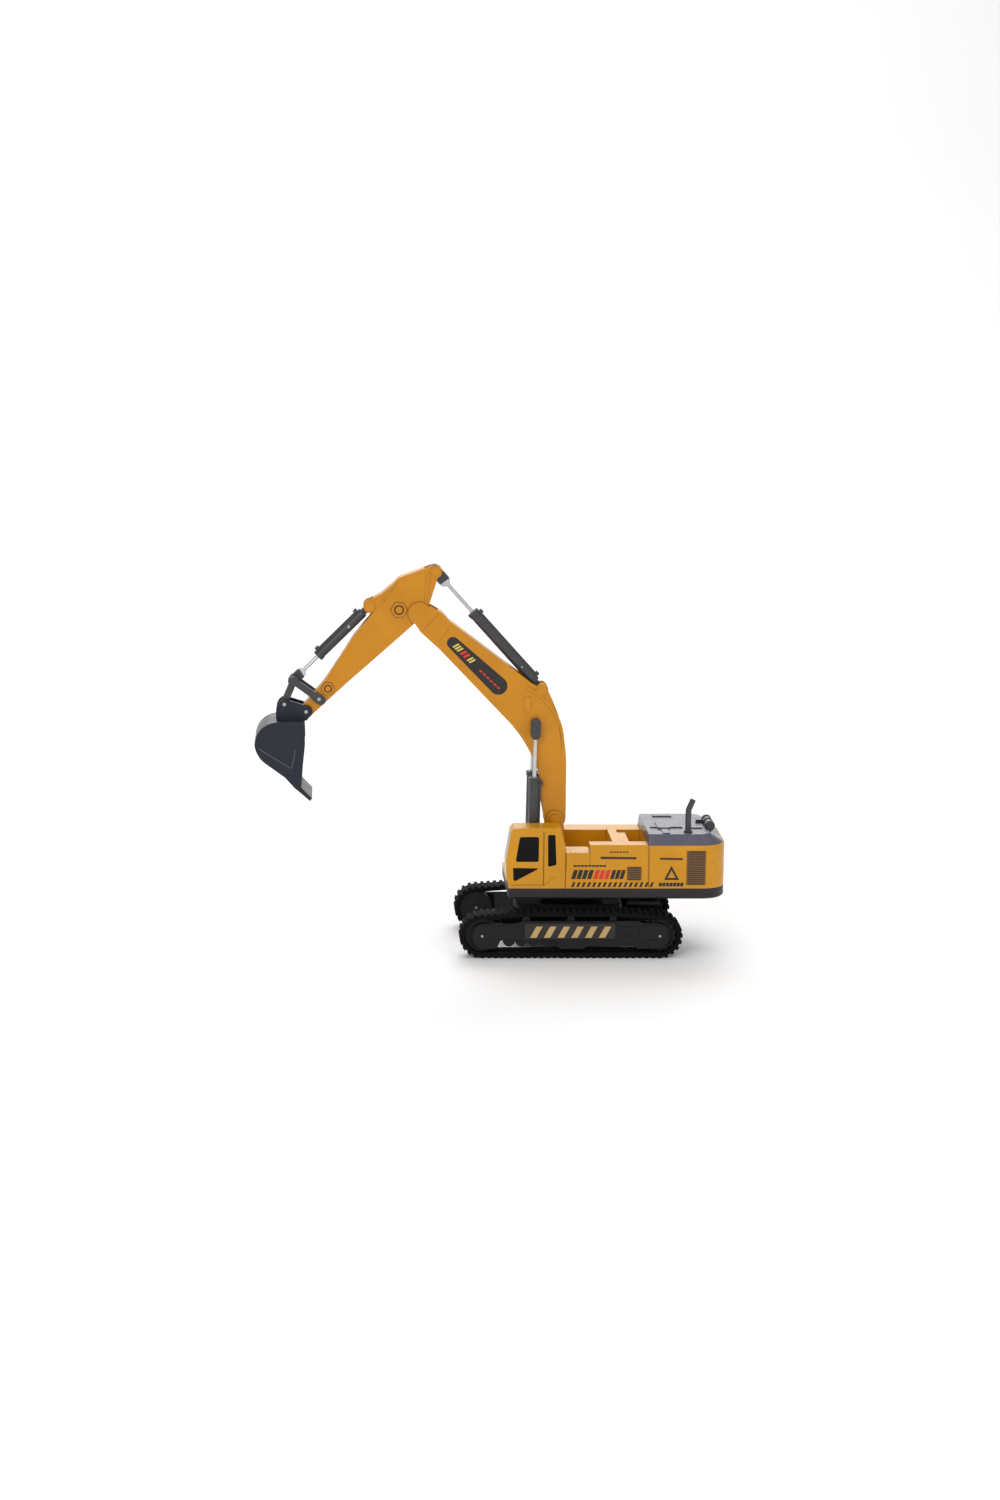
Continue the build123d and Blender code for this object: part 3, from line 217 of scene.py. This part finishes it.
HOOD_GREY = moulded("hood_grey", (0.088, 0.090, 0.122), (0.32, 0.32, 0.37), rough=0.27,
                    grain=0.10, edge=0.4, specular=0.42)
NAVY = moulded("bucket_navy", (0.0090, 0.0108, 0.0230), (0.11, 0.12, 0.16), rough=0.34,
               grain=0.07, edge=0.5, specular=0.36)
PANE = moulded("dark_pane", (0.0030, 0.0028, 0.0026), (0.012, 0.011, 0.010), rough=0.12,
               grain=0.01, edge=0.1, specular=0.12)
# The louvre gets stronger painted shade in its grooves.
LOUVRE = moulded("louvre_brown", (0.165, 0.080, 0.020), (0.30, 0.16, 0.05), rough=0.45, cavity_shade=0.9)
GEAR = moulded("gear_nylon", (0.62, 0.61, 0.57), (0.75, 0.74, 0.70), rough=0.5)
SLEEVE = moulded("battery_sleeve", (0.03, 0.07, 0.22), (0.08, 0.14, 0.32), rough=0.35)
CHROME = turned_metal("rod_chrome", (0.62, 0.62, 0.64), 0.22)
STEEL = turned_metal("pin_steel", (0.46, 0.46, 0.47), 0.34)

BY_SLOT = {
    "black_plastic": BLACK, "track_rubber": TRACK, "steel": STEEL, "orange_plastic": ORANGE,
    "grey_plastic": HOOD_GREY, "dark_pane": PANE, "navy_plastic": NAVY, "gunmetal_plastic": GUNMETAL,
    "bright_rod": CHROME, "brown_plastic": LOUVRE, "battery_blue": SLEEVE, "gear_white": GEAR,
}
SLOT_OF = {entry["node"]: entry["material_slot"] for entry in RECORD["subparts"]}
OWN_LOOK = {
    "body_shell": BODY_ORANGE, "cab_shell": BODY_ORANGE, "platform": SKIRT,
    "drive_gearbox_left": TRACK, "drive_gearbox_right": TRACK,
}
for name, node in NODES.items():
    node.data.materials.clear()
    node.data.materials.append(OWN_LOOK.get(name, BY_SLOT[SLOT_OF[name]]))


# ---- mesh pieces ----
def machine(x, z):
    """Side-view point in millimetres from the slew axis, as the frame's (x, z) in metres."""
    return (SLEW_X + x) * MM, z * MM


def machine_xyz(x, z, y):
    place = machine(x, z)
    return place[0], y * MM, place[1]


def turned(points, pivot, degrees):
    """Side-view points turned about a pivot."""
    c, s = math.cos(math.radians(degrees)), math.sin(math.radians(degrees))
    return [(pivot[0] + (x - pivot[0]) * c - (z - pivot[1]) * s,
             pivot[1] + (x - pivot[0]) * s + (z - pivot[1]) * c) for x, z in points]


def rounded(points, radius, steps=5):
    """Closed outline with each corner replaced by an arc."""
    result = []
    count = len(points)
    for index, corner in enumerate(points):
        before, after = Vector(points[index - 1]), Vector(points[(index + 1) % count])
        corner = Vector(corner)
        to_before, to_after = (before - corner).normalized(), (after - corner).normalized()
        half = math.acos(max(-1.0, min(1.0, to_before.dot(to_after)))) / 2
        half_sides = ((before - corner).length / 2, (after - corner).length / 2)
        reach = min(radius / max(math.tan(half), 0.05), *half_sides)
        for step in range(steps + 1):
            t = step / steps
            first = corner + to_before * reach
            last = corner + to_after * reach
            point = first * (1 - t) ** 2 + corner * 2 * t * (1 - t) + last * t ** 2
            result.append((point.x, point.y))
    return result


def circle(centre, radius, steps=24):
    return [(centre[0] + radius * math.cos(2 * math.pi * i / steps),
             centre[1] + radius * math.sin(2 * math.pi * i / steps)) for i in range(steps)]


def hexagon(centre, radius):
    return circle(centre, radius, 6)


def capsule(start, start_r, end, end_r, steps=12):
    """Outline round two discs of different size."""
    gap = Vector(end) - Vector(start)
    heading = math.atan2(gap.y, gap.x)
    lean = math.acos((start_r - end_r) / gap.length)
    points = []
    ends = ((end, end_r, -lean, lean), (start, start_r, lean, 2 * math.pi - lean))
    for centre, radius, first, last in ends:
        for step in range(steps + 1):
            angle = heading + first + (last - first) * step / steps
            points.append((centre[0] + radius * math.cos(angle), centre[1] + radius * math.sin(angle)))
    return points


def finish_piece(build, name, material, body):
    """Turn a bmesh into a piece that rides on a body and answers to a material slot."""
    bmesh.ops.recalc_face_normals(build, faces=build.faces)
    mesh = bpy.data.meshes.new(name)
    build.to_mesh(mesh)
    build.free()
    mesh.materials.append(material)
    piece = bpy.data.objects.new(name, mesh)
    bpy.context.collection.objects.link(piece)
    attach(piece, body)
    return piece


def add_prism(build, points, y_low, y_high):
    """Extrude a side-view outline, in machine millimetres, between two widths."""
    low = [build.verts.new(machine_xyz(x, z, y_low)) for x, z in points]
    high = [build.verts.new(machine_xyz(x, z, y_high)) for x, z in points]
    build.faces.new(low)
    build.faces.new(high)
    for index in range(len(points)):
        after = (index + 1) % len(points)
        build.faces.new((low[index], low[after], high[after], high[index]))


def plates(name, outlines, face_y, thickness, material, body, sides=(1, -1)):
    """Thin plates lying on one or both flanks of the machine."""
    build = bmesh.new()
    for side in sides:
        for points in outlines:
            low, high = sorted((side * face_y, side * (face_y + thickness)))
            add_prism(build, points, low, high)
    return finish_piece(build, name, material, body)


def studs(name, centres, face_y, radius, height, material, body, sides=(1, -1), steps=20):
    """Domed heads: rivets, screw heads and pin ends on the flanks."""
    build = bmesh.new()
    rings = ((1.0, -0.3), (1.0, 0.35), (0.86, 0.72), (0.5, 0.94), (0.0, 1.0))
    for side in sides:
        for x, z in centres:
            previous = None
            for scale, rise in rings:
                y = side * (face_y + height * rise)
                if scale == 0.0:
                    tip = build.verts.new(machine_xyz(x, z, y))
                    for index in range(steps):
                        build.faces.new((previous[index], previous[(index + 1) % steps], tip))
                    break
                outline = circle((x, z), radius * scale, steps)
                ring = [build.verts.new(machine_xyz(px, pz, y)) for px, pz in outline]
                if previous:
                    for index in range(steps):
                        after = (index + 1) % steps
                        build.faces.new((previous[index], previous[after], ring[after], ring[index]))
                else:
                    build.faces.new(ring)
                previous = ring
    piece = finish_piece(build, name, material, body)
    piece.data.polygons.foreach_set("use_smooth", [True] * len(piece.data.polygons))
    return piece


def printed(name, colour, rough=0.45):
    """Ink or a thin sticker, with a slightly lighter edge from wear and painted highlight."""
    lighter = tuple(min(1.0, c * 1.6 + 0.02) for c in colour)
    return moulded(name, colour, lighter, rough=rough, grain=0.02, edge=0.2)


PRINT_BLACK = printed("print_black", (0.010, 0.008, 0.007))
PRINT_RED = printed("print_red", (0.66, 0.030, 0.008))
PRINT_GOLD = printed("print_gold", (0.50, 0.33, 0.13))
PRINT_BROWN = printed("sticker_brown", (0.016, 0.0105, 0.0075))
SEAM = printed("seam_shadow", (0.16, 0.060, 0.004))
SLIT = printed("slit_shadow", (0.045, 0.014, 0.006))
PRINT_YELLOW = printed("print_yellow", (0.72, 0.55, 0.08))
# Painted highlight: the bucket's raised ridge is coloured a lighter navy than the bucket.
NAVY_RIDGE_HIGHLIGHT = printed("bucket_ridge_highlight", (0.075, 0.082, 0.105), 0.35)

# Distance from the middle plane to each flank, in millimetres.
FLANK = 42.0
FRAME_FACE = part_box("track_frame_left")[1].y / MM
BOOM_FACE = 8.5
STICK_FACE = 6.5
BUCKET_FACE = 23.0

# Thin plates start a little inside their face and stand this far out of their start.
SINK = 0.03
SEAM_DEPTH = 0.07
SKIN = 0.12
STICKER = 0.15
INK = 0.08
SEAM_WIDTH = 0.36
FINE_SEAM = 0.30

# Boss centres on the stick: the pivot to the boom, and the one near the bucket.
HEX_NUTS = ((139.3, 277.8), (196.7, 213.2))


def slanted(x, z_low, z_high, width, lean):
    """Parallelogram bar whose top is shifted back by lean."""
    return [(x, z_low), (x - width, z_low), (x - width - lean, z_high), (x - lean, z_high)]


def line(start, end, width):
    """Thin straight strip between two side-view points."""
    run = (Vector(end) - Vector(start)).normalized() * (width / 2)
    side = (-run.y, run.x)
    return [(start[0] + side[0], start[1] + side[1]), (end[0] + side[0], end[1] + side[1]),
            (end[0] - side[0], end[1] - side[1]), (start[0] - side[0], start[1] - side[1])]


def chain(points, width):
    """Strips joining side-view points in turn."""
    return [line(start, end, width) for start, end in zip(points, points[1:])]


def track_sticker():
    """Dark sticker with six slanted bars on each track frame."""
    plate = rounded([(37.4, 16.2), (37.4, 28.8), (-35.6, 28.8), (-35.6, 16.2)], 1.0)
    plates("frame_sticker", [plate], FRAME_FACE - 0.05, STICKER, PRINT_BROWN, "undercarriage")
    bars = [slanted(33.2 - 11.1 * index, 17.0, 26.4, 5.2, 5.0) for index in range(6)]
    plates("frame_bars", bars, FRAME_FACE + 0.10, INK, PRINT_GOLD, "undercarriage")


def flank_seams():
    """Panel seams and cooling slits on the body's flanks."""
    near = [line((22.8, 101.5), (22.1, 57.0), SEAM_WIDTH), line((22.1, 57.2), (11.8, 65.4), FINE_SEAM),
            line((-15.4, 90.2), (-15.6, 73.0), SEAM_WIDTH),
            line((-62.4, 89.8), (-63.1, 56.0), SEAM_WIDTH), line((3.8, 84.0), (3.4, 70.0), FINE_SEAM)]
    far = [line((-62.4, 88.8), (-63.1, 56.0), SEAM_WIDTH), line((-15.4, 88.0), (-15.6, 56.0), SEAM_WIDTH)]
    for name, seams, side in (("flank_seams", near, 1), ("far_flank_seams", far, -1)):
        plates(name, seams, FLANK - SINK, 2 * SINK, SEAM, "upper", sides=(side,))
    slits = [[(-24.0, 81.3), (-53.0, 80.9), (-53.0, 79.0), (-24.0, 79.4)],
             [(-72.0, 80.5), (-90.6, 80.1), (-90.6, 78.4), (-72.0, 78.8)]]
    plates("flank_slits", slits, FLANK - SINK, SEAM_DEPTH, SLIT, "upper")


def flank_prints():
    """Generic stripes on the body's flanks."""
    black = []
    red = []
    for index, x in enumerate((-0.4, -4.7, -9.0, -13.3, -18.3, -22.7, -27.1, -31.9, -35.7, -39.5)):
        target = red if 4 <= index <= 6 else black
        target.append(slanted(x, 62.7, 70.2, 3.3 if index < 7 else 2.9, 2.2))
    black += [slanted(-0.4 - 4.25 * index, 56.1, 60.0, 2.0, 1.6) for index in range(16)]
    black += [slanted(-2.0 - 3.0 * index, 72.9, 74.3, 2.5, 0.2) for index in range(9)]
    black += [slanted(-31.5 - 2.6 * index, 84.6, 85.6, 1.9, 0.2) for index in range(6)]
    black += [slanted(-71.5 - 2.9 * index, 56.6, 59.6, 2.4, 0.4) for index in range(7)]
    plates("flank_print_black", black, FLANK - 0.02, SKIN, PRINT_BLACK, "upper")
    plates("flank_print_red", red, FLANK - 0.02, SKIN, PRINT_RED, "upper")


def triangle_print():
    """Open triangle on each flank, made of three strips."""
    centre = Vector((-81.8, 65.8))
    outer = [Vector(corner) for corner in ((-75.8, 61.9), (-88.0, 61.9), (-81.6, 73.6))]
    inner = [centre + (corner - centre) * 0.56 for corner in outer]
    strips = []
    for index in range(3):
        after = (index + 1) % 3
        strips.append([tuple(outer[index]), tuple(outer[after]), tuple(inner[after]), tuple(inner[index])])
    plates("flank_triangle", strips, FLANK - 0.02, SKIN + 0.02, PRINT_BLACK, "upper")


def boom_print():
    """Dark pill on the boom with plain slanted stripes."""
    far, near = (95.5, 251.1), (58.3, 215.8)
    pill = capsule(near, 7.3, far, 4.9)
    plates("boom_pill", [pill], BOOM_FACE - 0.05, SKIN + 0.05, PRINT_BLACK, "boom")
    heading = math.degrees(math.atan2(far[1] - near[1], far[0] - near[0]))
    yellow = []
    red = []
    for index in range(6):
        dash = slanted(near[0] + 20.5 - 4.0 * index, near[1] - 1.9, near[1] - 0.5, 2.7, 0.5)
        red.append(turned(dash, near, heading))
    for index, start in enumerate((49.6, 47.2, 44.8, 41.4, 37.9, 33.6, 31.2)):
        target = red if index in (3, 4) else yellow
        width = 2.2 if index in (3, 4) else 1.5
        bar = slanted(near[0] + start, near[1] - 2.6, near[1] + 2.6, width, 1.7)
        target.append(turned(bar, near, heading))
    plates("boom_stripes_yellow", yellow, BOOM_FACE + SKIN, SKIN / 2, PRINT_YELLOW, "boom")
    plates("boom_stripes_red", red, BOOM_FACE + SKIN, SKIN / 2, PRINT_RED, "boom")


def two_tone(name, body, pin, reach):
    """Copy of a cylinder rod whose end fitting, within reach of its pin, is dark."""
    mesh = NODES[name].data.copy()
    mesh.materials.clear()
    mesh.materials.append(CHROME)
    mesh.materials.append(GUNMETAL)
    for face in mesh.polygons:
        distance = math.hypot(face.center.x - pin[0], face.center.z - pin[1])
        face.material_index = 1 if distance < reach * MM else 0
    look = bpy.data.objects.new(name + "_look", mesh)
    bpy.context.collection.objects.link(look)
    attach(look, body)
    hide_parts(name)


def rods():
    """Dark end fittings on the bright piston rods."""
    low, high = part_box("boom_rod_pin")
    boom_pin = ((low.x + high.x) / 2, (low.z + high.z) / 2)
    for side in ("left", "right"):
        two_tone("boom_rod_" + side, "boom_rods", boom_pin, 12.5)
    two_tone("stick_rod", "stick_rod", machine(109.6, 308.6), 11.0)
    two_tone("bucket_rod", "bucket_rod", machine(224.3, 219.7), 9.0)


def arm_marks():
    """Shadow lines round the bosses, panel seams and rivets on the boom, the stick and the bucket."""
    # Painted shade: a dark hexagon just outside each boss and a dark disc in its groove.
    rims = [hexagon(HEX_NUTS[0], 7.1), hexagon(HEX_NUTS[1], 5.9)]
    plates("stick_nut_rims", rims, STICK_FACE - 0.04, 0.12, SEAM, "stick")
    wells = [circle(HEX_NUTS[0], 4.0), circle(HEX_NUTS[1], 3.25)]
    plates("stick_nut_wells", wells, STICK_FACE - 0.04, 0.22, SEAM, "stick")
    stick_seam = ((140.1, 301.6), (147.1, 290.4), (158.0, 279.0))
    plates("stick_seams", chain(stick_seam, FINE_SEAM), STICK_FACE - SINK, SEAM_DEPTH, SEAM, "stick")
    nose_seam = ((120.4, 260.6), (113.4, 268.2), (107.2, 274.6))
    elbow_seam = ((24.2, 206.6), (14.6, 199.6), (8.6, 184.0), (5.6, 160.0))
    boom_lines = [line((99.0, 262.6), (106.2, 252.9), 0.32)]
    boom_lines += chain(nose_seam, 0.32) + chain(elbow_seam, FINE_SEAM)
    plates("boom_seams", boom_lines, BOOM_FACE - SINK, SEAM_DEPTH, SEAM, "boom")
    studs("bucket_barrel_rivet", [(179.9, 263.4)], 3.9, 1.25, 0.6, STEEL, "bucket_barrel")
    studs("stick_barrel_rivet", [(39.2, 230.4)], 4.2, 0.9, 0.6, STEEL, "stick_barrel")
    # Painted highlight: the ridge is drawn lighter than the bucket's navy.
    ridge = [(253.0, 166.6), (239.8, 158.4), (226.4, 150.2), (224.3, 158.6), (223.2, 166.0)]
    plates("bucket_ridge", chain(ridge, 0.75), BUCKET_FACE - 0.05, 0.45, NAVY_RIDGE_HIGHLIGHT, "bucket")


track_sticker()
flank_seams()
flank_prints()
triangle_print()
boom_print()
arm_marks()
rods()


# ---- studio ----
CAMERA_AT = Vector(((SLEW_X + 199.908) * MM, 2.37610, 0.63152))
CAMERA_DOWN = math.radians(11.2)
CAMERA_LENS = 71.04
CAMERA_SHIFT = 0.1173

# The floor is level to SWEEP_START behind the machine and then curves up into a wall.
FLOOR_FRONT = 6.0
FLOOR_HALF_WIDTH = 9.0
SWEEP_START = -3.0
SWEEP_RADIUS = 2.5
WALL_TOP = 9.0

# Area lights: name, place, side length and power.
LIGHTS = (
    ("key", (0.8, 2.2, 1.3), 1.3, 20.0),
    ("fill", (-1.5, 1.6, 0.8), 1.4, 4.5),
    ("top", (0.0, -0.2, 1.9), 1.8, 9.0),
    ("rim", (-0.6, -1.6, 1.3), 1.2, 6.0),
    ("backdrop", (0.0, -4.5, 3.5), 4.0, 160.0),
)
LIGHTS_AIM = Vector((0.0, 0.0, 0.12))


def sweep():
    """Pale floor that curves up behind the machine."""
    floor_mesh = bpy.data.meshes.new("floor")
    build = bmesh.new()
    bend = [(SWEEP_START - SWEEP_RADIUS * math.sin(a), SWEEP_RADIUS * (1 - math.cos(a)))
            for a in (math.pi / 2 * step / 16 for step in range(17))]
    profile = [(FLOOR_FRONT, 0.0)] + bend + [(SWEEP_START - SWEEP_RADIUS, WALL_TOP)]
    rows = [[build.verts.new((x, y, z)) for x in (-FLOOR_HALF_WIDTH, FLOOR_HALF_WIDTH)] for y, z in profile]
    for low, high in zip(rows, rows[1:]):
        build.faces.new((low[0], low[1], high[1], high[0]))
    build.to_mesh(floor_mesh)
    build.free()
    floor_mesh.polygons.foreach_set("use_smooth", [True] * len(floor_mesh.polygons))
    floor = bpy.data.objects.new("floor", floor_mesh)
    bpy.context.collection.objects.link(floor)
    n = Nodes("floor_pale")
    n.link(n.mix(n.spread(n.noise(0.8, 3.0), 0.3, 0.7), (0.86, 0.86, 0.86), (0.88, 0.88, 0.88)),
           n.shader.inputs["Base Color"])
    n.shader.inputs["Roughness"].default_value = 0.75
    floor_mesh.materials.append(n.material)


def lighting():
    """Even white surroundings and five soft lights."""
    world = bpy.data.worlds.new("studio")
    bpy.context.scene.world = world
    world.use_nodes = True
    world.node_tree.nodes["Background"].inputs["Color"].default_value = (1.0, 1.0, 1.0, 1.0)
    world.node_tree.nodes["Background"].inputs["Strength"].default_value = 0.55
    for name, place, size, power in LIGHTS:
        data = bpy.data.lights.new(name, "AREA")
        data.size = size
        data.energy = power
        light = bpy.data.objects.new(name, data)
        light.location = place
        aim = LIGHTS_AIM - light.location
        light.rotation_euler = aim.to_track_quat("-Z", "Y").to_euler()
        bpy.context.collection.objects.link(light)


def camera_view():
    """Camera looking slightly down on the machine's left side."""
    data = bpy.data.cameras.new("camera")
    data.lens = CAMERA_LENS
    data.shift_x = CAMERA_SHIFT
    camera = bpy.data.objects.new("camera", data)
    camera.location = CAMERA_AT
    camera.rotation_euler = (math.pi / 2 - CAMERA_DOWN, 0.0, math.pi)
    bpy.context.collection.objects.link(camera)
    bpy.context.scene.camera = camera
    bpy.context.scene.view_settings.view_transform = "Standard"


sweep()
lighting()
camera_view()
